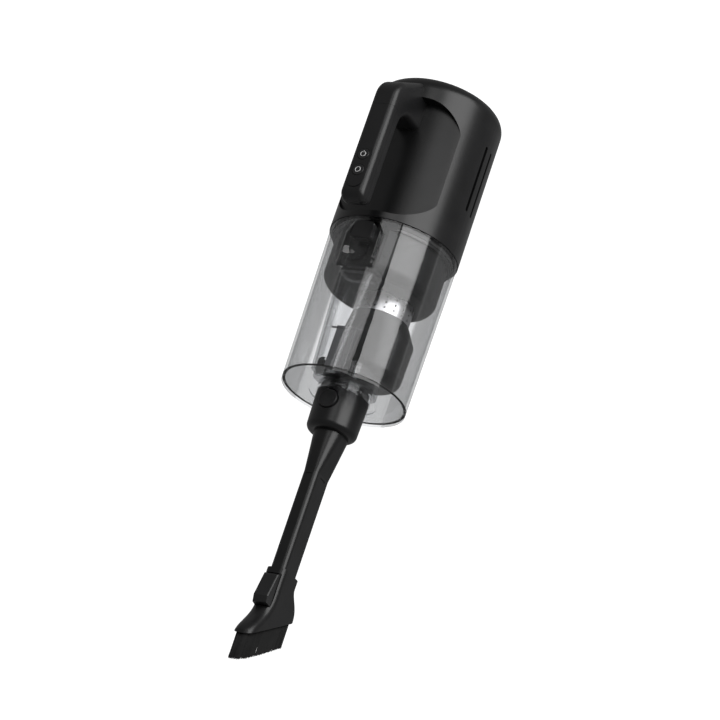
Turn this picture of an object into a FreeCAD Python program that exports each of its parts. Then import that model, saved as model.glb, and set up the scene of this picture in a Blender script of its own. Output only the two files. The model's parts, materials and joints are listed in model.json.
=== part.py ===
import FreeCAD, Part

# Cordless handheld vacuum with a clear cyclone dust cup and a crevice tool that carries a sliding brush.
#
# The machine is modelled upright, in millimetres. Z runs along its main axis from the tool to the tail, with
# zero at the underside of the dust cup, and -Y is the front, where the handle is. Each solid is laid on its back
# when it is written: in the part's own frame +Y points to the tail, +Z is the handle side and the floor is z = 0.

import os
from math import cos, pi, radians, sin

V = FreeCAD.Vector

# Driving dimensions of the outside
SEAM = 132.0  # underside of the motor housing
TAIL = 264.0  # tail end of the motor housing
BODY_R = 53.0
WALL = 3.0
TAIL_ROUND = 12.0
SPLIT_Y = 30.0  # parting plane between the housing and its rear cover
PART_GAP = 0.3
RECESS_HALF_W = 44.0  # hand recess behind the handle
RECESS_LOW = 137.0
RECESS_HIGH = 242.0
RECESS_CORNER = 28.0
RECESS_FLOOR_R = 89.5  # the recess floor is a gentle convex cylinder
RECESS_FLOOR_Y = 47.5
GRIP_HALF_W = 10.5
GRIP_IN = 70.0  # inner and outer faces of the handle bar, from the main axis
GRIP_OUT = 88.0
GRIP_LOW = 127.5
GRIP_WALL = 2.5
GRIP_SPLIT = 80.0
BRIDGE_LOW = 217.0
REST_FACE = 54.0  # distance of the dock plate's flat from the main axis
PLATE_HALF_W = 17.0
CUP_R_BASE = 50.0
CUP_R_TOP = 52.3
CUP_WALL = 2.0
CUP_TOP = 131.6
FLOOR_T = 2.4  # thickness of the dust cup's floor
SPIGOT_R = 19.0
SPIGOT_TOP = 6.5
SOCKET_GAP = 0.3
COLLAR_R = 21.0
COLLAR_R_LOW = 20.0
COLLAR_LOW = -33.0
TUBE_HALF_X = 6.5  # crevice tube, half sizes
TUBE_HALF_Y = 11.5
TUBE_WALL = 1.6
TUBE_START = -68.0
TUBE_END = -179.0
BRISTLE_TIP = -233.0
MIDDLE = (TAIL + BRISTLE_TIP) / 2  # height on the main axis that becomes y = 0

UP = V(0, 0, 1)
FRONT = V(0, -1, 0)
BACK = V(0, 1, 0)
RIGHT = V(1, 0, 0)
ORIGIN = V(0, 0, 0)


# ---- helpers
def ring(r_out, r_in, low, high, x=0.0, y=0.0):
    """An upright ring, or a disc when r_in is zero."""
    shape = Part.makeCylinder(r_out, high - low, V(x, y, low))
    if r_in > 0:
        shape = shape.cut(Part.makeCylinder(r_in, high - low, V(x, y, low)))
    return shape


def block(x0, x1, y0, y1, z0, z1):
    """A box between two corners."""
    return Part.makeBox(x1 - x0, y1 - y0, z1 - z0, V(x0, y0, z0))


def rounded_wire(half_x, half_y, r, z, y=0.0):
    """A level rounded rectangle, centred on x = 0."""
    edges = []
    points = []
    for start, sx, sy in ((0, 1, 1), (90, -1, 1), (180, -1, -1), (270, 1, -1)):
        cx = sx * (half_x - r)
        cy = y + sy * (half_y - r)
        arc = [V(cx + r * cos(radians(start + a)), cy + r * sin(radians(start + a)), z) for a in (0, 45, 90)]
        if points:
            edges.append(Part.makeLine(points[-1], arc[0]))
        points += [arc[0], arc[2]]
        edges.append(Part.Arc(*arc).toShape())
    edges.append(Part.makeLine(points[-1], points[0]))
    return Part.Wire(edges)


def rounded_prism(half_x, half_y, r, low, high, y=0.0):
    """An upright prism of rounded rectangular section."""
    return Part.Face(rounded_wire(half_x, half_y, r, low, y)).extrude(V(0, 0, high - low))


def rounded_plate(half_x, low, high, r, y_out, y_in):
    """A rounded rectangle seen from the front, running in depth from y_out to y_in."""
    plate = rounded_prism(half_x, (high - low) / 2, r, 0, y_in - y_out)
    plate.rotate(ORIGIN, RIGHT, 90)
    plate.translate(V(0, y_in, (low + high) / 2))
    return plate


def front_prism(points, y_out, y_in):
    """A prism in depth through (x, z) points."""
    wire = Part.makePolygon([V(x, y_out, z) for x, z in points + points[:1]])
    return Part.Face(wire).extrude(V(0, y_in - y_out, 0))


def side_prism(points, half_w):
    """A prism across the width through (y, z) points."""
    wire = Part.makePolygon([V(-half_w, y, z) for y, z in points + points[:1]])
    return Part.Face(wire).extrude(V(2 * half_w, 0, 0))


def fillet_where(shape, radius, keep):
    """Rounds the edges whose bounding box keep() picks."""
    return shape.makeFillet(radius, [e for e in shape.Edges if keep(e.BoundBox)])


def level(z):
    """Picks edges that lie level at height z."""
    return lambda box: abs(box.ZMin - z) < 0.01 and abs(box.ZMax - z) < 0.01


def largest(shape):
    """The largest solid of a result."""
    return max(shape.Solids, key=lambda s: s.Volume)


def coil_spring(radius, wire_r, y_low, y_high, z, turns):
    """A short compression spring of six-sided wire, standing front to back between two depths."""
    rise = y_high - y_low - 2 * wire_r - 0.04
    helix = Part.makeHelix(rise / turns, rise, radius)
    angles = [pi * (k + 0.5) / 3 for k in range(6)]
    corners = [V(radius + wire_r * cos(a), 0, wire_r * sin(a)) for a in angles]
    section = Part.makePolygon(corners + corners[:1])
    spring = Part.Wire(helix.Edges).makePipeShell([section], True, True)
    spring.translate(V(0, 0, wire_r + 0.02))
    spring.rotate(ORIGIN, RIGHT, -90)
    spring.translate(V(0, y_low, z))
    return spring


nodes = {}


def add(name, *shapes):
    """Keeps a node: one solid, or several separate ones."""
    solids = [s for shape in shapes for s in shape.Solids]
    nodes[name] = solids[0] if len(solids) == 1 else Part.makeCompound(solids)


# ---- motor housing, rear cover and dock plate
def housing_block(inset):
    """The housing's form with its hand recess, shrunk by inset all round."""
    top = TAIL - inset
    body = Part.makeCylinder(BODY_R - inset, top - SEAM, V(0, 0, SEAM))
    body = fillet_where(body, TAIL_ROUND - inset, level(top))
    recess = rounded_plate(
        RECESS_HALF_W + inset, RECESS_LOW - inset, RECESS_HIGH + inset, RECESS_CORNER + inset, -BODY_R - 10, 0
    )
    floor = Part.makeCylinder(RECESS_FLOOR_R - inset, 200, V(0, RECESS_FLOOR_Y, 100))
    return body.cut(recess.cut(floor))


VENT_ANGLES = (87, 98)
VENT_LOW = 170.0
VENT_HIGH = 229.0
VENT_HALF_W = 1.6
PLATE_LOW = 144.0
PLATE_HIGH = 244.0
PLATE_SEAT_R = 52.0
PORT_Y = 12.0
PORT_R = 6.0


def vent_slots():
    """Two long exhaust slots on each side."""
    slots = []
    for angle in VENT_ANGLES:
        for side in (-1, 1):
            slot = rounded_plate(VENT_HALF_W, VENT_LOW, VENT_HIGH, 1.5, -BODY_R - 5, -BODY_R + 8)
            slot.rotate(ORIGIN, UP, side * angle)
            slots.append(slot)
    return slots


def make_housing():
    """The housing shell, open at the seam, and the rear cover that closes it."""
    shell = housing_block(0).cut(housing_block(WALL))
    for slot in vent_slots():
        shell = shell.cut(slot)
    shell = shell.cut(ring(PORT_R, 0, TAIL - 10, TAIL + 5, 0, PORT_Y))
    front_zone = block(-60, 60, -60, SPLIT_Y, SEAM - 1, TAIL + 1)
    rear_zone = block(-60, 60, SPLIT_Y + PART_GAP, 60, SEAM - 1, TAIL + 1)
    add("main_housing", largest(shell.common(front_zone)))
    seat = rounded_plate(PLATE_HALF_W + 0.15, PLATE_LOW - 0.15, PLATE_HIGH + 0.15, 6, 30, 60)
    seat = seat.cut(ring(PLATE_SEAT_R, 0, 100, 300))
    add("rear_cover", largest(shell.common(rear_zone).cut(seat)))


def make_dock_plate():
    """The flat rear plate that meets a wall dock, with two contacts and two screws."""
    plate = rounded_plate(PLATE_HALF_W, PLATE_LOW, PLATE_HIGH, 6, 30, REST_FACE)
    plate = plate.cut(ring(PLATE_SEAT_R + 0.05, 0, 100, 300))
    contacts = []
    screws = []
    for x in (-7, 7):
        plate = plate.cut(Part.makeCylinder(3.1, 10, V(x, 53.0, 230), BACK))
        contacts.append(Part.makeCylinder(3.0, 0.7, V(x, 53.0, 230), BACK))
        plate = plate.cut(Part.makeCylinder(2.8, 10, V(x, 52.6, 156), BACK))
        head = Part.makeCylinder(2.6, 1.1, V(x, 52.6, 156), BACK)
        for half_x, half_z in ((1.6, 0.35), (0.35, 1.6)):
            head = head.cut(block(x - half_x, x + half_x, 53.1, 54, 156 - half_z, 156 + half_z))
        screws.append(head)
    add("dock_plate", plate)
    add("dock_contacts", *contacts)
    add("dock_screws", *screws)


PORT_BORE_R = 2.75
PORT_DEPTH = 9.0


def make_charge_socket():
    """The round charging socket in the tail."""
    top = TAIL - 0.3
    body = ring(PORT_R - 0.1, 0, top - 13, top, 0, PORT_Y)
    add("charge_socket", body.cut(ring(PORT_BORE_R, 0, top - PORT_DEPTH, top, 0, PORT_Y)))


# ---- handle, button pad and buttons
# Depth, height and corner radius, from the root round the bar and back over the bridge.
HANDLE_CORNERS = [
    (-20, BRIDGE_LOW, 0),
    (-GRIP_IN, BRIDGE_LOW, 14),
    (-GRIP_IN, GRIP_LOW, 8),
    (-GRIP_OUT, GRIP_LOW, 8),
    (-GRIP_OUT, 232, 17),
    (-46, 258, 12),
    (-20, 262, 0),
]


def handle_form(inset, rounding):
    """The handle, shrunk by inset: a bar whose lower end is free, with a bridge into the housing on top."""
    half = GRIP_HALF_W - inset
    points = [V(-half, y, z) for y, z, r in HANDLE_CORNERS]
    face = Part.Face(Part.makePolygon(points + points[:1]))
    if inset > 0:
        face = face.makeOffset2D(-inset, 2)
    solid = face.extrude(V(2 * half, 0, 0))
    for y, z, r in HANDLE_CORNERS:
        hollow_corner = z == BRIDGE_LOW
        reach = r + inset if hollow_corner else r - inset
        if r > 0:
            near = nearest_cross_edge(solid, y, z)
            solid = solid.makeFillet(reach, [near])
    sides = lambda e: e.BoundBox.XLength < 0.01 and e.BoundBox.YMax < -20 - inset - 0.5
    return solid.makeFillet(rounding, [e for e in solid.Edges if sides(e)])


def nearest_cross_edge(solid, y, z):
    """The straight edge across the width that lies nearest to a depth and a height."""
    across = [e for e in solid.Edges if e.BoundBox.XLength > 5]
    return min(across, key=lambda e: (e.BoundBox.Center.y - y) ** 2 + (e.BoundBox.Center.z - z) ** 2)


PAD_LOW = 137.0
PAD_HIGH = 172.0
PAD_HALF_W = 7.0
PAD_BACK = -84.0
PAD_FACE = -88.6
BUTTON_R = 4.8
BUTTONS = {"mode_button": 151.8, "power_button": 165.8}


def make_handle():
    """The cantilevered handle in two shells, the outer one framing the button pad."""
    shell = handle_form(0, 5).cut(handle_form(GRIP_WALL, 2.5))
    shell = shell.cut(ring(BODY_R, 0, SEAM, TAIL).common(housing_block(0)))
    cover_zone = block(-20, 20, -100, -GRIP_SPLIT, 120, 212)
    rest_zone = block(-20, 20, -100, -GRIP_SPLIT + 0.15, 120, 212.15)
    add("handle", largest(shell.cut(rest_zone)))
    pad_hole = rounded_plate(PAD_HALF_W + 0.1, PAD_LOW - 0.1, PAD_HIGH + 0.1, 6.9, -95, PAD_BACK - 0.1)
    add("handle_cover", largest(shell.common(cover_zone).cut(pad_hole)))


def make_buttons():
    """The oblong pad, two push buttons, and the small board with their switches."""
    pad = rounded_plate(PAD_HALF_W, PAD_LOW, PAD_HIGH, 6.8, PAD_FACE, PAD_BACK)
    switches = []
    for name, z in BUTTONS.items():
        pad = pad.cut(Part.makeCylinder(BUTTON_R + 0.3, 12, V(0, -80, z), FRONT))
        cap = Part.makeCylinder(BUTTON_R, 4.6, V(0, -84.4, z), FRONT)
        add(name, fillet_where(cap, 0.5, lambda b: b.YMax < -88.9))
        switches.append(block(-2.2, 2.2, -83.2, -81.4, z - 2.2, z + 2.2))
    add("button_pad", pad)
    add("button_board", block(-5.5, 5.5, -81.4, -80.2, 142, 176))
    add("button_switches", *switches)


# ---- motor, fan, battery and board
MOTOR_R = 21.0
CARRIER_TOP = SEAM + 1.8
SHAFT_R = 2.0
BEARING_R = 5.5


def make_motor():
    """The brushless motor on its carrier, with the fan stage under it."""
    release_notch = block(-20, 20, -60, -40.5, SEAM - 1, SEAM + 3)
    add("motor_carrier", ring(48.9, 14, SEAM, CARRIER_TOP).cut(release_notch))
    add("motor_damper", ring(23, 15, CARRIER_TOP, SEAM + 5))
    stage = ring(MOTOR_R, 18.6, SEAM + 5, 150).fuse(ring(MOTOR_R, 10, SEAM + 5, SEAM + 6.2))
    add("fan_cover", stage.removeSplitter())
    can = ring(MOTOR_R, 19.6, 150, 188)
    for low in (150, 186):
        can = can.fuse(ring(19.6, BEARING_R, low, low + 2))
    for k in range(6):
        can = can.cut(ring(3, 0, 145, 195, 13 * cos(k * pi / 3), 13 * sin(k * pi / 3)))
    add("motor_can", can.removeSplitter())
    bore = SHAFT_R + 0.03
    add("motor_bearings", ring(BEARING_R, bore, 150, 154), ring(BEARING_R, bore, 184, 188))
    add("motor_shaft", ring(SHAFT_R, 0, 140, 190))
    add("rotor_magnet", ring(10.4, SHAFT_R, 157.5, 178.5))
    make_stator()
    make_impeller()


def make_stator():
    """The laminated core with six teeth, and a coil on each tooth."""
    core = ring(19.5, 16.4, 157, 179)
    coils = []
    for k in range(6):
        tooth = block(11.2, 16.6, -2.2, 2.2, 157, 179).fuse(block(11.2, 12.4, -4.4, 4.4, 157, 179))
        coil = block(12.6, 15.6, -3.9, 3.9, 154.8, 181.2).cut(block(12, 17, -2.3, 2.3, 156.9, 179.1))
        for shape in (tooth, coil):
            shape.rotate(ORIGIN, UP, 60 * k)
        core = core.fuse(tooth)
        coils.append(coil)
    add("stator_core", core.removeSplitter())
    add("stator_coils", *coils)


def make_impeller():
    """The fan: a back plate, a hub and nine swept blades."""
    wheel = ring(5.5, SHAFT_R, 140, 148.5).fuse(ring(17.8, SHAFT_R, 147.3, 148.5))
    step = V(0, 0.9, 0)
    for k in range(9):
        curve = [V(5.0, 0, 141), V(10.5, 3.6, 141), V(17.2, 4.2, 141)]
        outer = Part.Arc(*curve).toShape()
        inner = Part.Arc(*[p + step for p in curve]).toShape()
        ends = [Part.makeLine(curve[2], curve[2] + step), Part.makeLine(curve[0], curve[0] + step)]
        blade = Part.Face(Part.Wire(Part.__sortEdges__([outer, inner] + ends))).extrude(V(0, 0, 6.6))
        blade.rotate(ORIGIN, UP, 40 * k)
        wheel = wheel.fuse(blade)
    add("impeller", wheel.removeSplitter())


CELL_R = 9.1
CELL_RING = 34.0
CELL_LOW = 152.0
CELL_HIGH = 216.0
HOLDER_T = 3.0


def make_battery():
    """Five round cells in an arc behind the motor, between two crescent holders."""
    cells = []
    for step in (-2, -1, 0, 1, 2):
        turn = radians(33 * step)
        cell = ring(CELL_R, 0, CELL_LOW, CELL_HIGH, CELL_RING * sin(turn), CELL_RING * cos(turn))
        cells.append(cell.makeFillet(0.8, cell.Edges[:1]))
    holders = []
    for low in (CELL_LOW - HOLDER_T, CELL_HIGH):
        holders.append(ring(45, 24, low, low + HOLDER_T).cut(block(-60, 60, -60, -2, 100, 300)))
    add("battery_cells", *cells)
    add("battery_holders", *holders)


def make_board():
    """The control board across the tail, with its parts."""
    outline = ring(40, 0, 226, 227.6).cut(block(-60, 60, -60, -26, 220, 230))
    add("control_board", outline)
    chips = [block(-12, 2, 18, 30, 227.6, 231), block(10, 16, -2, 8, 227.6, 230)]
    cans = [ring(4, 0, 227.6, 237, x, y) for x, y in ((-22, 4), (-24, -8), (24, -6))]
    add("board_components", *chips, *cans)


def make_exhaust():
    """A foam pad behind the vents of each side."""
    pad = ring(49.6, 47.0, VENT_LOW - 4, VENT_HIGH + 4).common(block(30, 60, -9, 13, 160, 240))
    add("exhaust_foam", pad, pad.mirror(ORIGIN, RIGHT))


# ---- cyclone and filter, which stay on the housing when the cup comes off
SHROUD_R = 46.0
SHROUD_LOW = 88.0
CYCLONE_X = 4.0  # the mesh, bell and filter stand a little to one side, clear of the duct
MESH_Y = 9.0
MESH_R = 23.0
MESH_LOW = 72.0
BELL_Y = 17.0
BELL_R = 28.5
BELL_LOW = 22.0
POCKET_BACK = 43.5  # depth of the latch pocket's inner face


def circle_wire(r, z, y):
    """A level circle on the cyclone's plane."""
    return Part.Wire([Part.makeCircle(r, V(CYCLONE_X, y, z))])


def bell_form(inset):
    """The bell under the mesh: it widens, stands to the rear, and has a rounded bottom."""
    low = BELL_LOW + inset
    skirt = Part.makeLoft([circle_wire(MESH_R + 0.6 - inset, MESH_LOW, MESH_Y + 0.4),
                           circle_wire(BELL_R - inset, 60, BELL_Y - 1)], True, True)
    bowl = Part.makeLoft([circle_wire(BELL_R - inset, 60, BELL_Y - 1),
                          circle_wire(BELL_R - 1.5 - inset, low, BELL_Y)], True, True)
    bowl = fillet_where(bowl, 9 - inset, level(low))
    return skirt.fuse(bowl)


def make_cyclone():
    """The dark shroud, its mesh neck, the bell, and the cup's seal."""
    flat = block(-60, 60, -60, -POCKET_BACK + 0.7, 60, SEAM + 2)
    shroud = fillet_where(ring(SHROUD_R, 0, SHROUD_LOW, SEAM), 9, level(SHROUD_LOW))
    hollow = fillet_where(ring(SHROUD_R - 2, 0, SHROUD_LOW + 2, SEAM + 5), 7, level(SHROUD_LOW + 2))
    hollow = hollow.cut(block(-60, 60, -60, -POCKET_BACK + 2.7, 60, SEAM + 6))
    outlet = ring(MESH_R - 0.8, 0, SHROUD_LOW - 1, SHROUD_LOW + 5, CYCLONE_X, MESH_Y)
    shroud = shroud.cut(flat).cut(hollow).cut(outlet)
    lip = ring(48.6, SHROUD_R - 1, 126, SEAM).cut(flat)
    groove = ring(50, 47.2, 128, 130.2)
    add("cyclone_shroud", largest(shroud.fuse(lip.cut(groove)).removeSplitter()))
    add("cup_seal", largest(ring(49.4, 47.25, 128.05, 130.15).cut(flat)))
    mesh = ring(MESH_R, MESH_R - 0.7, MESH_LOW, SHROUD_LOW, CYCLONE_X, MESH_Y)
    for z in (75.5, 80, 84.5):
        for k in range(9):
            hole = Part.makeCylinder(0.9, 80, V(CYCLONE_X, MESH_Y - 40, z), BACK)
            hole.rotate(V(CYCLONE_X, MESH_Y, 0), UP, 20 * k + 10)
            mesh = mesh.cut(hole)
    add("mesh_screen", mesh)
    bell = bell_form(0).cut(bell_form(2))
    add("cyclone_bell", largest(bell.removeSplitter()))


FILTER_Y = MESH_Y
FILTER_R = 20.5
PLEATS = 30


def make_filter():
    """The pleated filter between two end rings, inside the mesh and the shroud."""
    points = []
    for k in range(2 * PLEATS):
        r = FILTER_R if k % 2 == 0 else FILTER_R - 5
        points.append(V(CYCLONE_X + r * cos(pi * k / PLEATS), FILTER_Y + r * sin(pi * k / PLEATS), 77))
    media = Part.Face(Part.makePolygon(points + points[:1])).extrude(V(0, 0, 46))
    add("filter_pleats", media.cut(ring(FILTER_R - 7, 0, 70, 130, CYCLONE_X, FILTER_Y)))
    flange = ring(SHROUD_R - 2.2, 0, 123, 126).cut(block(-60, 60, -60, -POCKET_BACK + 2.9, 120, 130))
    add("filter_frame", flange.cut(ring(FILTER_R - 7, 0, 120, 130, CYCLONE_X, FILTER_Y)),
        ring(FILTER_R + 0.7, 0, 74, 77, CYCLONE_X, FILTER_Y))


# ---- dust cup
POCKET_HALF_W = 16.5
POCKET_LOW = 89.0
POCKET_HIGH = 128.0
POCKET_CHAMFER = 6.0
POCKET_FACE = -54.4
LATCH_HALF_W = 8.5
LATCH_LOW = 112.0
LATCH_HIGH = 126.5
LATCH_BACK = -48.6


def make_cup():
    """The clear wall with the latch block on its front, and the clear floor with the inlet socket."""
    outer = Part.makeCone(CUP_R_BASE, CUP_R_TOP, CUP_TOP)
    inner = Part.makeCone(CUP_R_BASE - CUP_WALL, CUP_R_TOP - CUP_WALL, CUP_TOP)
    half = POCKET_HALF_W
    neck = half - POCKET_CHAMFER
    outline = [(-half, POCKET_LOW), (half, POCKET_LOW), (half, POCKET_HIGH - 9), (neck, POCKET_HIGH)]
    outline += [(-neck, POCKET_HIGH), (-half, POCKET_HIGH - 9)]
    frame = front_prism(outline, POCKET_FACE, -POCKET_BACK)
    frame = fillet_where(frame, 2.0, lambda b: b.YLength > 5)
    frame = fillet_where(frame, 0.8, lambda b: b.YMax < POCKET_FACE + 0.01)
    seat = rounded_plate(LATCH_HALF_W + 0.3, LATCH_LOW - 0.3, LATCH_HIGH + 0.3, 3, -60, -POCKET_BACK - 1.6)
    dish = Part.makeSphere(13, V(0, -61.5, 101))
    wall = outer.cut(inner).fuse(frame).cut(seat).cut(dish)
    add("cup_wall", largest(wall.cut(block(-60, 60, -60, 60, -1, 2.8)).removeSplitter()))
    add("floor_seal", outer.common(ring(60, CUP_R_BASE - 2.2, FLOOR_T, 2.8)))
    floor = outer.common(ring(60, 0, 0, FLOOR_T)).fuse(ring(27, 0, -1.5, 1)).fuse(ring(21.4, 0, 1, 7))
    floor = floor.cut(ring(COLLAR_R + 0.7, 0, -4, 0)).cut(ring(SPIGOT_R + SOCKET_GAP, 0, -1, 8))
    add("cup_floor", floor.removeSplitter())
    add("socket_seal", ring(SPIGOT_R + SOCKET_GAP - 0.02, SPIGOT_R + 0.02, 3, 5))
    button = rounded_plate(LATCH_HALF_W, LATCH_LOW, LATCH_HIGH, 2.8, POCKET_FACE + 0.4, LATCH_BACK)
    add("cup_release_button", button)
    add("cup_release_spring", coil_spring(3.0, 0.3, LATCH_BACK, -POCKET_BACK - 1.6, 119.2, 3))


DUCT_BACK = 24.0
DUCT_FRONT = 45.0
DUCT_LOW = 2.8
DUCT_HIGH = 87.6
DUCT_WALL = 1.6
DUCT_HALF_LOW = 11.0
DUCT_HALF_HIGH = 16.0
ELBOW_HIGH = 20.5
FLAP_PIN_R = 0.8
FLAP_PIN_Y = -(DUCT_BACK + 3.7)
FLAP_PIN_Z = 46.0
FLAP_HALF_W = 8.3


def duct_half_width(z):
    """Half width of the riser at height z."""
    return DUCT_HALF_LOW + (DUCT_HALF_HIGH - DUCT_HALF_LOW) * (z - DUCT_LOW) / (DUCT_HIGH - DUCT_LOW)


def riser(inset):
    """The tapered riser, shrunk by inset all round."""
    middle = -(DUCT_BACK + DUCT_FRONT) / 2
    half = (DUCT_FRONT - DUCT_BACK) / 2 - inset
    low = DUCT_LOW + inset
    high = DUCT_HIGH - inset
    wires = [rounded_wire(duct_half_width(z) - inset, half, 6 - inset, z, middle) for z in (low, high)]
    return Part.makeLoft(wires, True, True)


def make_duct():
    """The clear air duct from the inlet socket, with its side outlet, and the hinged flap in its throat."""
    elbow = rounded_prism(21.4, 24, 12, 7, ELBOW_HIGH, -2.6)
    room = rounded_prism(21.4 - DUCT_WALL, 24 - DUCT_WALL, 12 - DUCT_WALL, 6, ELBOW_HIGH - DUCT_WALL, -2.6)
    throat = block(-7.5, 7.5, -30, -20, 8, 18)
    duct = riser(0).fuse(elbow).cut(riser(DUCT_WALL)).cut(room.cut(block(-30, 30, -60, -DUCT_BACK, 0, 30)))
    duct = duct.cut(throat).cut(block(8, 20, -41, -29, 66, 83))
    pin_span = duct_half_width(FLAP_PIN_Z) - 0.5
    add("inlet_duct", largest(duct.removeSplitter()))
    pin = Part.makeCylinder(FLAP_PIN_R, 2 * pin_span, V(-pin_span, FLAP_PIN_Y, FLAP_PIN_Z), RIGHT)
    add("flap_pin", pin)
    flap = block(-FLAP_HALF_W, FLAP_HALF_W, FLAP_PIN_Y - 0.9, FLAP_PIN_Y + 0.5, 10, FLAP_PIN_Z)
    barrel = Part.makeCylinder(1.6, 2 * FLAP_HALF_W, V(-FLAP_HALF_W, FLAP_PIN_Y, FLAP_PIN_Z), RIGHT)
    bore = Part.makeCylinder(FLAP_PIN_R + 0.05, 40, V(-20, FLAP_PIN_Y, FLAP_PIN_Z), RIGHT)
    add("inlet_flap", flap.fuse(barrel).cut(bore).removeSplitter())


# ---- crevice tool and sliding brush
TOOL_BUTTON_Z = -11.0


def make_collar():
    """The collar that plugs into the inlet, with its release button."""
    collar = Part.makeCone(COLLAR_R_LOW, COLLAR_R, -0.6 - COLLAR_LOW, V(0, 0, COLLAR_LOW))
    collar = fillet_where(collar, 5, level(COLLAR_LOW)).fuse(ring(SPIGOT_R, 0, -0.6, SPIGOT_TOP))
    collar = collar.cut(ring(14.6, 0, -29, SPIGOT_TOP + 1)).cut(rounded_prism(11, 14, 10, -40, -28, 1.5))
    seat = Part.makeCylinder(8.3, 30, V(0, -16.0, TOOL_BUTTON_Z), FRONT)
    add("tool_collar", collar.cut(seat).removeSplitter())
    cap = Part.makeCylinder(7.6, 3.6, V(0, -18.2, TOOL_BUTTON_Z), FRONT)
    add("tool_release_button", fillet_where(cap, 0.8, lambda b: b.YMax < -21.5))
    add("tool_release_spring", coil_spring(3.5, 0.25, -18.2, -16.0, TOOL_BUTTON_Z, 2))


def tube_form(inset, top):
    """The crevice tube and its neck, shrunk by inset."""
    sections = [
        rounded_wire(12.6 - inset, 14.6 - inset, 11.6 - inset, top, 1.5),
        rounded_wire(9.2 - inset, 13.0 - inset, 7.5 - inset, -52, 0.8),
        rounded_wire(TUBE_HALF_X - inset, TUBE_HALF_Y - inset, 4 - inset, TUBE_START),
    ]
    straight = rounded_prism(TUBE_HALF_X - inset, TUBE_HALF_Y - inset, 4 - inset, TUBE_END - 12, TUBE_START)
    return Part.makeLoft(sections, True).fuse(straight)


def make_tube():
    """The one-piece neck and crevice tube, cut on a slant at its tip."""
    tube = tube_form(0, COLLAR_LOW).cut(tube_form(TUBE_WALL, COLLAR_LOW))
    tip = side_prism([(-30, TUBE_END - 6), (30, TUBE_END + 2), (30, TUBE_END - 40), (-30, TUBE_END - 40)], 20)
    tube = tube.cut(tip)
    for y in (-TUBE_HALF_Y, TUBE_HALF_Y):
        tube = tube.cut(block(-3, 3, y - 0.5, y + 0.5, -71.5, -70.0))
    for x in (-TUBE_HALF_X, TUBE_HALF_X):
        tube = tube.cut(block(x - 0.5, x + 0.5, -4, 4, -71.5, -70.0))
    add("crevice_tube", largest(tube.removeSplitter()))


SLEEVE_TOP = -150.0
SLEEVE_HALF_X = 8.6
SLEEVE_HALF_Y = 13.6
SLIDE_GAP = 0.35
HEAD_FRONT = 31.0
HEAD_BACK = 27.0
HEAD_MID = (HEAD_BACK - HEAD_FRONT) / 2
HEAD_HALF_Y = (HEAD_BACK + HEAD_FRONT) / 2
HEAD_CORNER = 7.8
# Height, reach to the front, reach to the back and corner radius down the flare of the head.
FLARE = (
    (-158.0, SLEEVE_HALF_Y, SLEEVE_HALF_Y, 5.2),
    (-165.0, SLEEVE_HALF_Y, 19.0, 5.5),
    (-172.0, 13.8, 25.0, 6.0),
    (-182.0, 15.5, HEAD_BACK, 6.8),
    (-192.0, 20.5, HEAD_BACK, 7.4),
    (-200.0, 26.5, HEAD_BACK, HEAD_CORNER),
    (-208.0, HEAD_FRONT, HEAD_BACK, HEAD_CORNER),
)
POD_HALF_W = 6.5
POD_ROUND = 1.6
BRUSH_FRONT = -211.0  # slanted joint between the head and its bristles
BRUSH_BACK = -177.0
BRISTLE_TIP_BACK = -197.0


def below_line(front_z, back_z):
    """Everything under a slanted plane, given by its heights at the head's front and back."""
    slope = (back_z - front_z) / (HEAD_BACK + HEAD_FRONT)
    far = 60
    front = front_z - slope * (far - HEAD_FRONT)
    back = back_z + slope * (far - HEAD_BACK)
    return side_prism([(-far, front), (far, back), (far, -300), (-far, -300)], 40)


def make_brush():
    """The sleeve that slides on the tube, its flared head, the bristles and the slide's latch button."""
    passage = rounded_prism(TUBE_HALF_X + SLIDE_GAP, TUBE_HALF_Y + SLIDE_GAP, 4.3, -260, -100)
    grip = rounded_prism(SLEEVE_HALF_X, SLEEVE_HALF_Y, 5.2, -168, SLEEVE_TOP)
    rings = []
    for z, front, back, corner in FLARE:
        rings.append(rounded_wire(SLEEVE_HALF_X, (front + back) / 2, corner, z, (back - front) / 2))
    head = rounded_prism(SLEEVE_HALF_X, HEAD_HALF_Y, HEAD_CORNER, -216, FLARE[-1][0], HEAD_MID)
    flare = Part.makeLoft(rings, True).fuse(head)
    sleeve = grip.fuse(flare).cut(passage).cut(below_line(BRUSH_FRONT, BRUSH_BACK))
    seat = rounded_plate(POD_HALF_W + 0.3, -182.4, -154.6, 0.5, -40, -11)
    add("brush_sleeve", largest(sleeve.cut(seat).removeSplitter()))
    pod = side_prism([(-12.95, -182), (-19.4, -181), (-21, -176), (-16.5, -157), (-12.95, -155)], POD_HALF_W)
    add("brush_button", pod.makeFillet(POD_ROUND, [e for e in pod.Edges if e.BoundBox.YMax < -13.5]))
    brush = rounded_prism(SLEEVE_HALF_X - 0.9, HEAD_HALF_Y - 1.2, 6.8, -260, -168, HEAD_MID)
    brush = brush.cut(passage).common(below_line(BRUSH_FRONT, BRUSH_BACK))
    brush = brush.cut(below_line(BRISTLE_TIP, BRISTLE_TIP_BACK))
    add("bristles", *brush.Solids)


def lay_down(shape):
    """Turns the upright model onto its back, with the dock plate on the floor."""
    placed = shape.copy()
    placed.rotate(ORIGIN, RIGHT, -90)
    placed.translate(V(0, -MIDDLE, REST_FACE))
    return placed


def write():
    """Writes one STEP per node."""
    os.makedirs("parts", exist_ok=True)
    for name, shape in sorted(nodes.items()):
        placed = lay_down(shape)
        placed.exportStep("parts/%s.step" % name)
        state = "ok" if placed.isValid() else "INVALID"
        print("%-22s %2d solid(s) %10.1f mm3 %s" % (name, len(placed.Solids), placed.Volume, state))


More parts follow.
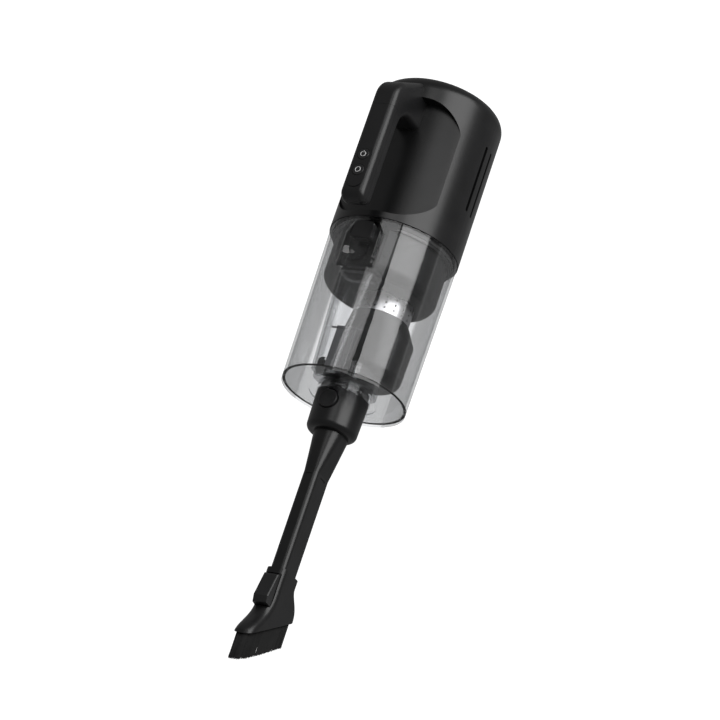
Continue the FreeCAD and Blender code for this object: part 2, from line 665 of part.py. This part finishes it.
make_housing()
make_dock_plate()
make_charge_socket()
make_handle()
make_buttons()
make_motor()
make_battery()
make_board()
make_exhaust()
make_cyclone()
make_filter()
make_cup()
make_duct()
make_collar()
make_tube()
make_brush()
write()
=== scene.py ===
import json
import random
from math import cos, pi, radians, sin

import bmesh
import bpy
from mathutils import Matrix, Vector


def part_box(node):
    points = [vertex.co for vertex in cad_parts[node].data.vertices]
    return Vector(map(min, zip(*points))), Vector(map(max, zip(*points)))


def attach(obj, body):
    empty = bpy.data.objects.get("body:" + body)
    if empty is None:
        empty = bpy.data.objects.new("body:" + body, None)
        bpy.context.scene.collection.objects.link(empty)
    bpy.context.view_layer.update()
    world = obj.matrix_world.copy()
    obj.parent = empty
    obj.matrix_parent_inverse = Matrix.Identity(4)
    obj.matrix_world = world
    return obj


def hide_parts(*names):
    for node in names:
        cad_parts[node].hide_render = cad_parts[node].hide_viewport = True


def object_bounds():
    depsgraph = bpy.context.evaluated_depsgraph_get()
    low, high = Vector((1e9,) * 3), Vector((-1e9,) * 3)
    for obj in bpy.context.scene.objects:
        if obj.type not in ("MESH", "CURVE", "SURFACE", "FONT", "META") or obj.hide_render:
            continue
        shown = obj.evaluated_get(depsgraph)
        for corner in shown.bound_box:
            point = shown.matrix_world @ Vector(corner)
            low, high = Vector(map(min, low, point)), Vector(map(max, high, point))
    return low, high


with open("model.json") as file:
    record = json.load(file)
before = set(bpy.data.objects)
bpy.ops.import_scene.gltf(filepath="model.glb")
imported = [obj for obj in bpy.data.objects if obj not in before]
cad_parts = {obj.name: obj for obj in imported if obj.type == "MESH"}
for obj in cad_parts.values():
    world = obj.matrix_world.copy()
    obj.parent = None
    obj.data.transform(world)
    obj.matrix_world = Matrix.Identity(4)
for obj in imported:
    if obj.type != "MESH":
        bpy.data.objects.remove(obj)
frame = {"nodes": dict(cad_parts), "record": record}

CAD_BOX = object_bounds()
NODES = frame["nodes"]

MM = 0.001
FLOOR_T = 2.4 * MM  # thickness of the dust cup's floor, which its seal lies on
REST_FACE = 54.0 * MM  # height of the main axis above the dock plate's flat

# The main axis runs along +Y. AXIS is the point on it at the dust cup's underside.
CUP_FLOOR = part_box("floor_seal")[0].y - FLOOR_T
AXIS = Vector((0, CUP_FLOOR, REST_FACE))


# ---- materials
MOTTLE_SCALE = 60.0
GLOSS_SCALE = 35.0
CLEAR_GLOSS_SCALE = 45.0
MOTTLE_EDGES = (0.3, 0.7)  # noise values where the dark and the light colour are reached
RELIEF_STRENGTH = 0.5
RELIEF_DETAIL = 2.0
EDGE_BLEND = 0.25  # how soon clear plastic starts to look edge on


def new_material(name):
    """An empty node material, its node tree, and its output."""
    material = bpy.data.materials.new(name)
    material.use_nodes = True
    tree = material.node_tree
    tree.nodes.clear()
    output = tree.nodes.new("ShaderNodeOutputMaterial")
    return material, tree, output


def noise(tree, scale, detail=4.0, stretch=(1.0, 1.0, 1.0)):
    """Procedural noise in object space, stretched along an axis for grain that runs one way."""
    coords = tree.nodes.new("ShaderNodeTexCoord")
    mapping = tree.nodes.new("ShaderNodeMapping")
    mapping.inputs["Scale"].default_value = stretch
    tree.links.new(coords.outputs["Object"], mapping.inputs["Vector"])
    texture = tree.nodes.new("ShaderNodeTexNoise")
    texture.inputs["Scale"].default_value = scale
    texture.inputs["Detail"].default_value = detail
    tree.links.new(mapping.outputs["Vector"], texture.inputs["Vector"])
    return texture.outputs["Fac"]


def remap(tree, value, low, high):
    """Maps a 0..1 value onto low..high."""
    node = tree.nodes.new("ShaderNodeMapRange")
    node.inputs["To Min"].default_value = low
    node.inputs["To Max"].default_value = high
    tree.links.new(value, node.inputs["Value"])
    return node.outputs["Result"]


def blend_colours(tree, value, dark, light):
    """A colour between dark and light, by value."""
    ramp = tree.nodes.new("ShaderNodeValToRGB")
    ramp.color_ramp.elements[0].position = MOTTLE_EDGES[0]
    ramp.color_ramp.elements[0].color = (*dark, 1)
    ramp.color_ramp.elements[1].position = MOTTLE_EDGES[1]
    ramp.color_ramp.elements[1].color = (*light, 1)
    tree.links.new(value, ramp.inputs["Fac"])
    return ramp.outputs["Color"]


def surface(
    name, dark, light, rough, grain=900.0, bump=0.02 * MM, metal=0.0, specular=0.5, stretch=(1, 1, 1)
):
    """A solid surface with mottled colour, uneven gloss and a fine moulded or ground texture."""
    material, tree, output = new_material(name)
    shader = tree.nodes.new("ShaderNodeBsdfPrincipled")
    shader.inputs["Metallic"].default_value = metal
    shader.inputs["Specular IOR Level"].default_value = specular
    colour = blend_colours(tree, noise(tree, MOTTLE_SCALE), dark, light)
    tree.links.new(colour, shader.inputs["Base Color"])
    tree.links.new(remap(tree, noise(tree, GLOSS_SCALE), *rough), shader.inputs["Roughness"])
    relief = tree.nodes.new("ShaderNodeBump")
    relief.inputs["Strength"].default_value = RELIEF_STRENGTH
    relief.inputs["Distance"].default_value = bump
    tree.links.new(noise(tree, grain, RELIEF_DETAIL, stretch), relief.inputs["Height"])
    tree.links.new(relief.outputs["Normal"], shader.inputs["Normal"])
    tree.links.new(shader.outputs["BSDF"], output.inputs["Surface"])
    return material


def clear(name, tint, gloss_facing, gloss_edge, edge_tint, rough):
    """Thin clear plastic: it passes light, darkens where it is seen edge on, and reflects."""
    material, tree, output = new_material(name)
    passing = tree.nodes.new("ShaderNodeBsdfTransparent")
    edge_pass = tree.nodes.new("ShaderNodeBsdfTransparent")
    passing.inputs["Color"].default_value = (*tint, 1)
    edge_pass.inputs["Color"].default_value = (*edge_tint, 1)
    facing = tree.nodes.new("ShaderNodeLayerWeight")
    facing.inputs["Blend"].default_value = EDGE_BLEND
    body = tree.nodes.new("ShaderNodeMixShader")
    tree.links.new(facing.outputs["Facing"], body.inputs["Fac"])
    tree.links.new(passing.outputs["BSDF"], body.inputs[1])
    tree.links.new(edge_pass.outputs["BSDF"], body.inputs[2])
    gloss = tree.nodes.new("ShaderNodeBsdfGlossy")
    tree.links.new(remap(tree, noise(tree, CLEAR_GLOSS_SCALE), *rough), gloss.inputs["Roughness"])
    mirror = tree.nodes.new("ShaderNodeMixShader")
    amount = remap(tree, facing.outputs["Fresnel"], gloss_facing, gloss_edge)
    tree.links.new(amount, mirror.inputs["Fac"])
    tree.links.new(body.outputs["Shader"], mirror.inputs[1])
    tree.links.new(gloss.outputs["BSDF"], mirror.inputs[2])
    tree.links.new(mirror.outputs["Shader"], output.inputs["Surface"])
    return material


def grey(value):
    """A neutral grey."""
    return (value, value, value)


# Each finish: its dark and light colour, its least and most roughness, and what else it needs.
FINISHES = {
    "black_plastic": ((0.0035, 0.0035, 0.0037), (0.006, 0.006, 0.0063), (0.26, 0.34), {"specular": 0.4}),
    "grip_plastic": ((0.005, 0.005, 0.0053), (0.008, 0.008, 0.0083), (0.30, 0.40), {"specular": 0.4}),
    "button_plastic": ((0.008, 0.008, 0.0083), (0.013, 0.013, 0.0135), (0.32, 0.42), {"specular": 0.4}),
    "rubber": (grey(0.008), grey(0.014), (0.6, 0.75), {}),
    "flap_rubber": ((0.10, 0.10, 0.105), (0.14, 0.14, 0.145), (0.6, 0.7), {}),
    "steel": ((0.52, 0.52, 0.53), (0.68, 0.68, 0.69), (0.22, 0.34), {"metal": 1.0, "stretch": (1, 1, 12)}),
    "spring_steel": ((0.5, 0.5, 0.51), (0.62, 0.62, 0.63), (0.18, 0.28), {"metal": 1.0}),
    "contact_brass": ((0.62, 0.45, 0.18), (0.78, 0.60, 0.28), (0.2, 0.3), {"metal": 1.0}),
    "coil_copper": (
        (0.45, 0.17, 0.07), (0.62, 0.26, 0.11), (0.3, 0.4), {"metal": 0.8, "stretch": (1, 20, 1)}
    ),
    "aluminium": ((0.62, 0.62, 0.64), (0.74, 0.74, 0.76), (0.25, 0.38), {"metal": 1.0}),
    "cell_wrap": ((0.03, 0.10, 0.28), (0.05, 0.14, 0.36), (0.3, 0.4), {}),
    "board": ((0.01, 0.09, 0.04), (0.015, 0.12, 0.055), (0.35, 0.5), {}),
    "foam": (grey(0.015), grey(0.05), (0.85, 0.95), {"grain": 1400.0, "bump": 0.4 * MM}),
    "filter_paper": ((0.66, 0.66, 0.62), (0.78, 0.78, 0.74), (0.8, 0.9), {}),
    "bristle": (grey(0.002), grey(0.006), (0.5, 0.65), {"specular": 0.25}),
    "filter_plastic": ((0.05, 0.05, 0.052), (0.07, 0.07, 0.072), (0.4, 0.5), {}),
}


def make_materials():
    """One material for each finish in the record."""
    made = {}
    for name, (dark, light, rough, extra) in FINISHES.items():
        made[name] = surface(name, dark, light, rough, **extra)
    made["clear_plastic"] = clear(
        "clear_plastic",
        tint=(0.975, 0.977, 0.98),
        gloss_facing=0.03,
        gloss_edge=0.4,
        edge_tint=(0.84, 0.845, 0.85),
        rough=(0.03, 0.06),
    )
    return made


def dress_nodes(materials):
    """Gives every CAD node the material of its slot."""
    for entry in frame["record"]["subparts"]:
        mesh = NODES[entry["node"]].data
        mesh.materials.clear()
        mesh.materials.append(materials[entry["material_slot"]])


# ---- mesh pieces
def finish_piece(name, mesh, body, material, smooth=True):
    """Links a mesh as a piece, and rides it on its body."""
    piece = bpy.data.objects.new(name, mesh)
    bpy.context.scene.collection.objects.link(piece)
    for polygon in mesh.polygons:
        polygon.use_smooth = smooth
    mesh.materials.append(material)
    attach(piece, body)
    return piece


def swept_ring(centre, across, along, radius, thickness, start=0.0, turn=2 * pi, sides=8, steps=48):
    """A round wire bent on a circle, or on part of one, with closed ends."""
    mesh = bmesh.new()
    normal = across.cross(along).normalized()
    closed = abs(turn - 2 * pi) < 1e-6
    count = steps if closed else steps + 1
    rows = []
    for i in range(count):
        angle = start + turn * i / steps
        outward = across * cos(angle) + along * sin(angle)
        row = []
        for k in range(sides):
            around = 2 * pi * k / sides
            offset = outward * (radius + thickness * cos(around)) + normal * (thickness * sin(around))
            row.append(mesh.verts.new(centre + offset))
        rows.append(row)
    pairs = list(zip(rows, rows[1:])) + ([(rows[-1], rows[0])] if closed else [])
    for a, b in pairs:
        for k in range(sides):
            mesh.faces.new((a[k], b[k], b[(k + 1) % sides], a[(k + 1) % sides]))
    if not closed:
        mesh.faces.new(list(reversed(rows[0])))
        mesh.faces.new(rows[-1])
    bmesh.ops.recalc_face_normals(mesh, faces=mesh.faces)
    return mesh


def to_mesh(name, builder):
    """Turns a bmesh into mesh data."""
    data = bpy.data.meshes.new(name)
    builder.to_mesh(data)
    builder.free()
    return data


MARK_R = 2.1 * MM
MARK_WIRE = 0.26 * MM
MARK_RISE = 0.02 * MM  # how far a mark's centre stands above the button's top
MARK_GAP = radians(70)
BAR_SIZE = (0.5 * MM, 1.6 * MM, 0.4 * MM)
BAR_OFFSET = 1.9 * MM
BAR_BEVEL = 0.12 * MM


def top_centre(low, high):
    """Where a mark is centred on top of a button, given the button's box."""
    return Vector(((low.x + high.x) / 2, (low.y + high.y) / 2, high.z + MARK_RISE))


def add_button_marks():
    """A raised ring on each push button, one of them open at the top with a bar in the gap."""
    mark = surface("mark_white", (0.55, 0.55, 0.55), (0.7, 0.7, 0.7), (0.4, 0.5))
    across = Vector((1, 0, 0))
    along = Vector((0, 1, 0))
    for node, gap in (("power_button", MARK_GAP), ("mode_button", 0.0)):
        low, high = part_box(node)
        start = pi / 2 + gap / 2
        ring = swept_ring(top_centre(low, high), across, along, MARK_R, MARK_WIRE, start, 2 * pi - gap)
        finish_piece(node + "_ring", to_mesh(node + "_ring", ring), node, mark)
    low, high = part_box("power_button")
    bar = bmesh.new()
    bmesh.ops.create_cube(bar, size=1.0)
    bmesh.ops.scale(bar, vec=BAR_SIZE, verts=bar.verts)
    bmesh.ops.bevel(bar, geom=bar.edges[:], offset=BAR_BEVEL, segments=2, affect="EDGES")
    bmesh.ops.translate(bar, vec=top_centre(low, high) + along * BAR_OFFSET, verts=bar.verts)
    finish_piece("power_button_bar", to_mesh("power_button_bar", bar), "power_button", mark)


# ---- bristles
BRISTLES = 2600
CURTAIN = 260  # extra filaments in the thin row down each side of the tube's passage
BRISTLE_R = 0.22 * MM
TIP_TAPER = 0.6
TIP_UNEVEN = 1.2 * MM
LEAN = 0.6 * MM
SIDE_MARGIN = 0.4 * MM
END_MARGIN = 0.5 * MM
END_ROUND = 0.9  # radius of the oblong's ends, as a share of its half width
SEED = 7
AROUND = (0, 2.094, 4.189)  # a filament is three-sided
PASSAGE_HALF_X = 7.0 * MM
PASSAGE_HALF_Z = 12.0 * MM

# Distances from the main axis, and heights along it at the head's front and back, in millimetres.
HEAD_FRONT = 31.0
HEAD_BACK = -27.0
ROOTS = (-210.0, -176.0)  # just inside the head's lower face
TIPS = (-232.8, -197.2)


def place_on_cut(z, front, back):
    """Place along the main axis of a slanted plane, for a filament at height z above the floor."""
    share = ((z - AXIS.z) / MM - HEAD_BACK) / (HEAD_FRONT - HEAD_BACK)
    return CUP_FLOOR + (back + (front - back) * share) * MM


def in_passage(x, z):
    """Whether a point lies in the opening that the tube slides through."""
    return abs(x) < PASSAGE_HALF_X and abs(z - AXIS.z) < PASSAGE_HALF_Z


def bristle_roots(rng, low, high):
    """Root positions across the head, in an oblong, clear of the passage for the tube."""
    half_x = (high.x - low.x) / 2 - SIDE_MARGIN
    roots = []
    while len(roots) < BRISTLES:
        x = rng.uniform(-half_x, half_x)
        z = rng.uniform(low.z + END_MARGIN, high.z - END_MARGIN)
        end = half_x * END_ROUND
        inside_z = min(z - low.z, high.z - z)
        corner = max(0.0, end - inside_z)
        if corner > 0 and x * x + corner * corner > end * end:
            continue
        if in_passage(x, z):
            continue
        roots.append((x, z))
    for side in (-1, 1):
        for _ in range(CURTAIN):
            x = side * rng.uniform(PASSAGE_HALF_X, half_x)
            roots.append((x, AXIS.z + rng.uniform(-PASSAGE_HALF_Z, PASSAGE_HALF_Z)))
    return roots


def clamp(value, least, most):
    """The value, held between two limits."""
    return max(least, min(most, value))


def add_bristles(materials):
    """Fine nylon filaments, tapered and slightly splayed, cut on a slant."""
    low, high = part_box("bristles")
    rng = random.Random(SEED)
    builder = bmesh.new()
    for x, z in bristle_roots(rng, low, high):
        root_y = place_on_cut(z, *ROOTS)
        tip_y = place_on_cut(z, *TIPS) + rng.uniform(0.0, TIP_UNEVEN)
        tip_x = clamp(x + rng.uniform(-LEAN, LEAN), low.x + BRISTLE_R, high.x - BRISTLE_R)
        tip_z = clamp(z + rng.uniform(-LEAN, LEAN), low.z + BRISTLE_R, high.z - BRISTLE_R)
        if in_passage(tip_x, tip_z):
            tip_x, tip_z = x, z
        rows = []
        for cx, cy, cz, r in ((x, root_y, z, BRISTLE_R), (tip_x, tip_y, tip_z, BRISTLE_R * TIP_TAPER)):
            rows.append([builder.verts.new((cx + r * cos(a), cy, cz + r * sin(a))) for a in AROUND])
        for k in range(3):
            n = (k + 1) % 3
            builder.faces.new((rows[0][k], rows[0][n], rows[1][n], rows[1][k]))
        builder.faces.new(rows[0])
        builder.faces.new(list(reversed(rows[1])))
    bmesh.ops.recalc_face_normals(builder, faces=builder.faces)
    mesh = to_mesh("bristle_filaments", builder)
    piece = finish_piece("bristle_filaments", mesh, "brush", materials["bristle"], smooth=False)
    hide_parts("bristles")


# ---- stage, light and camera
FLOOR_HALF = 6.0
FLOOR_DROP = 0.2 * MM
FLOOR_GREY = 0.9
FLOOR_GLOW = 1.35
FLOOR_GLOW_SHARE = 0.75


def softbox(name, centre, target, width, height, power):
    """A rectangular soft light that faces a target."""
    light = bpy.data.lights.new(name, "AREA")
    light.shape = "RECTANGLE"
    light.size = width
    light.size_y = height
    light.energy = power
    lamp = bpy.data.objects.new(name, light)
    bpy.context.scene.collection.objects.link(lamp)
    lamp.location = centre
    lamp.rotation_euler = (target - centre).to_track_quat("-Z", "Y").to_euler()
    return lamp


def make_stage():
    """A plain white floor that glows a little, and that the machine's gloss doesn't mirror."""
    builder = bmesh.new()
    bmesh.ops.create_grid(builder, x_segments=1, y_segments=1, size=FLOOR_HALF)
    data = to_mesh("floor", builder)
    floor = bpy.data.objects.new("floor", data)
    floor.location = (0, 0, CAD_BOX[0][2] - FLOOR_DROP)
    bpy.context.scene.collection.objects.link(floor)
    material, tree, output = new_material("floor_paper")
    diffuse = tree.nodes.new("ShaderNodeBsdfDiffuse")
    diffuse.inputs["Color"].default_value = (*grey(FLOOR_GREY), 1)
    glow = tree.nodes.new("ShaderNodeEmission")
    glow.inputs["Strength"].default_value = FLOOR_GLOW
    mix = tree.nodes.new("ShaderNodeMixShader")
    mix.inputs["Fac"].default_value = FLOOR_GLOW_SHARE
    tree.links.new(diffuse.outputs["BSDF"], mix.inputs[1])
    tree.links.new(glow.outputs["Emission"], mix.inputs[2])
    tree.links.new(mix.outputs["Shader"], output.inputs["Surface"])
    data.materials.append(material)
    floor.visible_glossy = False


LIGHT_DISTANCE = 1.5
LIGHT_ALONG = 0.374  # both lights stand a little towards the tail, and their highlights run the whole length
LIGHT_TARGET = 0.08  # and they point at the main axis this far above the cup's underside
KEY_ANGLE = radians(60)  # how far each light stands round the main axis from straight above
KEY_SIZE = (1.5, 1.3)
KEY_POWER = 24.0
FILL_ANGLE = radians(12)
FILL_SIZE = (0.7, 0.6)
FILL_POWER = 2.5
SURROUND = 0.24  # strength of the dim light from all round


def round_axis(angle):
    """A direction from the machine, turned round the main axis from straight above."""
    across = (1 - LIGHT_ALONG ** 2) ** 0.5
    return Vector((across * sin(angle), LIGHT_ALONG, across * cos(angle)))


def make_lights():
    """A dim surround, a large softbox for the long highlight, and a small one for the hand recess."""
    world = bpy.data.worlds.new("surround")
    world.use_nodes = True
    background = world.node_tree.nodes["Background"]
    background.inputs["Color"].default_value = (1, 1, 1, 1)
    background.inputs["Strength"].default_value = SURROUND
    bpy.context.scene.world = world
    centre = Vector((0, AXIS.y + LIGHT_TARGET, AXIS.z))
    key = centre + round_axis(KEY_ANGLE) * LIGHT_DISTANCE
    fill = centre + round_axis(FILL_ANGLE) * LIGHT_DISTANCE
    softbox("key_softbox", key, centre, *KEY_SIZE, KEY_POWER)
    softbox("fill_softbox", fill, centre, *FILL_SIZE, FILL_POWER)


LENS = 140.0
SENSOR = 36.0
FAR = 30.0
CAMERA_FROM_CUP = Vector((1.036, -0.777, 1.724))
CAMERA_RIGHT = Vector((0.874, 0.2992, -0.3828))
CAMERA_UP = Vector((-0.0948, 0.8778, 0.4694))


def make_camera():
    """A long lens that looks down on the machine's front from its right, rolled to set the machine aslant."""
    data = bpy.data.cameras.new("camera")
    data.lens = LENS
    data.sensor_width = SENSOR
    data.clip_end = FAR
    camera = bpy.data.objects.new("camera", data)
    bpy.context.scene.collection.objects.link(camera)
    right = CAMERA_RIGHT.normalized()
    up = (CAMERA_UP - right * CAMERA_UP.dot(right)).normalized()
    back = right.cross(up)
    place = Matrix((right, up, back)).transposed().to_4x4()
    place.translation = AXIS + CAMERA_FROM_CUP
    camera.matrix_world = place
    bpy.context.scene.camera = camera


make_camera()
materials = make_materials()
dress_nodes(materials)
add_button_marks()
add_bristles(materials)
make_stage()
make_lights()
bpy.context.scene.view_settings.view_transform = "Standard"
